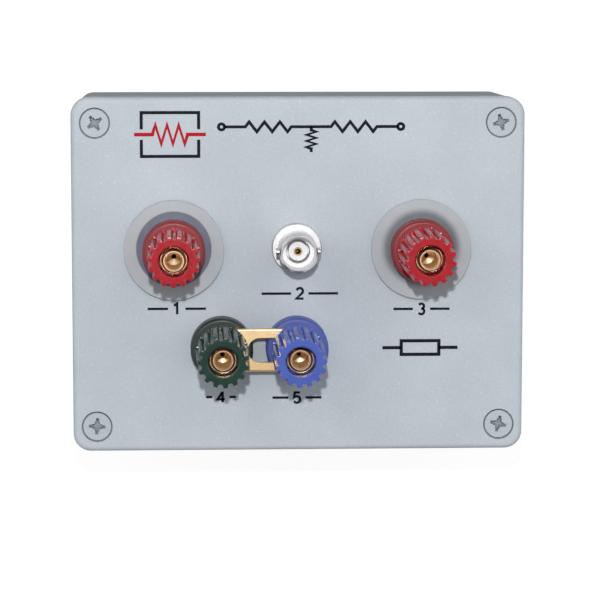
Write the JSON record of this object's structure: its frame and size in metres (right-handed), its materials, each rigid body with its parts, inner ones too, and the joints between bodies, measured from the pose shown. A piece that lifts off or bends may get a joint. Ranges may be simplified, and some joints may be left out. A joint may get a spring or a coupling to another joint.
{
  "type": "standard resistor",
  "caption": "Sealed bench standard resistor in a die-cast box with screw-cap binding posts, a coaxial centre-tap socket and a shorting link on its panel.",
  "frame": {"origin": "on the surface that the feet stand on, below the centre of the box", "axes": "+Z out of the panel, +X from the source post to the output post, +Y towards the panel's top edge"},
  "size_m": [0.1146, 0.09, 0.0759],
  "materials": {
    "painted_panel": "light blue-grey powder coat, fine orange peel",
    "painted_case": "light blue-grey powder coat",
    "painted_screw": "blue-grey enamel over a steel screw",
    "seal": "dark elastomer cord",
    "rubber": "black rubber, matt",
    "red_plastic": "moulded, half gloss",
    "green_plastic": "moulded, half gloss",
    "blue_plastic": "moulded, half gloss",
    "clear_disc": "milky, lets a little light through",
    "white_plastic": "white insulator",
    "gold": "gold-plated brass, polished",
    "link_gold": "gold-plated brass, satin",
    "nickel": "nickel plate",
    "tin": "tinned metal",
    "glass_body": "glazed resistor body",
    "green_wire": "insulated wire",
    "blue_wire": "insulated wire"
  },
  "bodies": {
    "box": {"enclosure_base": "painted_case", "enclosure_lid": "painted_panel", "lid_gasket": "seal", "lid_screws": "painted_screw", "rubber_feet": "rubber", "source_disc": "clear_disc", "source_collar": "red_plastic", "source_shaft": "gold", "source_rear_disc": "clear_disc", "output_disc": "clear_disc", "output_collar": "red_plastic", "output_shaft": "gold", "output_rear_disc": "clear_disc", "ground_collar": "green_plastic", "ground_shaft": "gold", "ground_insulator": "white_plastic", "ground_lug": "tin", "guard_collar": "blue_plastic", "guard_shaft": "gold", "guard_insulator": "white_plastic", "guard_lug": "tin", "stud_nuts": "nickel", "shorting_link": "link_gold", "coax_shell": "nickel", "coax_insulator": "white_plastic", "coax_contact": "gold", "coax_lug": "tin", "coax_lock_washer": "nickel", "coax_nut": "nickel", "source_tube": "glass_body", "source_leads": "tin", "output_tube": "glass_body", "output_leads": "tin", "shunt_tube": "glass_body", "shunt_leads": "tin", "centre_turret": "gold", "ground_wire": "green_wire", "guard_tray": "tin", "tray_pillars": "white_plastic", "tray_screws": "white_plastic", "guard_wire": "blue_wire"},
    "source_washer_body": {"source_washer": "gold"},
    "source_cap_body": {"source_cap": "red_plastic", "source_insert": "gold"},
    "output_washer_body": {"output_washer": "gold"},
    "output_cap_body": {"output_cap": "red_plastic", "output_insert": "gold"},
    "ground_washer_body": {"ground_washer": "gold"},
    "ground_cap_body": {"ground_cap": "green_plastic", "ground_insert": "gold"},
    "guard_washer_body": {"guard_washer": "gold"},
    "guard_cap_body": {"guard_cap": "blue_plastic", "guard_insert": "gold"}
  },
  "joints": [
    {"name": "source_lift", "type": "slide", "parent": "box", "child": "source_washer_body", "axis": [0, 0, 1], "range_m": [0, 0.0045]},
    {"name": "source_turn", "type": "hinge", "parent": "source_washer_body", "child": "source_cap_body", "pos_m": [-0.03152, 0.00655, 0.056], "axis": [0, 0, 1], "range_deg": [0, 1800]},
    {"name": "output_lift", "type": "slide", "parent": "box", "child": "output_washer_body", "axis": [0, 0, 1], "range_m": [0, 0.0045]},
    {"name": "output_turn", "type": "hinge", "parent": "output_washer_body", "child": "output_cap_body", "pos_m": [0.03108, 0.00655, 0.056], "axis": [0, 0, 1], "range_deg": [0, 1800]},
    {"name": "ground_lift", "type": "slide", "parent": "box", "child": "ground_washer_body", "axis": [0, 0, 1], "range_m": [0, 0.0045]},
    {"name": "ground_turn", "type": "hinge", "parent": "ground_washer_body", "child": "ground_cap_body", "pos_m": [-0.01955, -0.0182, 0.056], "axis": [0, 0, 1], "range_deg": [0, 1800]},
    {"name": "guard_lift", "type": "slide", "parent": "box", "child": "guard_washer_body", "axis": [0, 0, 1], "range_m": [0, 0.0045]},
    {"name": "guard_turn", "type": "hinge", "parent": "guard_washer_body", "child": "guard_cap_body", "pos_m": [-0.0005, -0.0182, 0.056], "axis": [0, 0, 1], "range_deg": [0, 1800]}
  ],
  "couplings": [
    {"joint": "source_turn", "follows": "source_lift", "rad_per_m": 6926.4},
    {"joint": "output_turn", "follows": "output_lift", "rad_per_m": 6926.4},
    {"joint": "ground_turn", "follows": "ground_lift", "rad_per_m": 6926.4},
    {"joint": "guard_turn", "follows": "guard_lift", "rad_per_m": 6926.4}
  ]
}
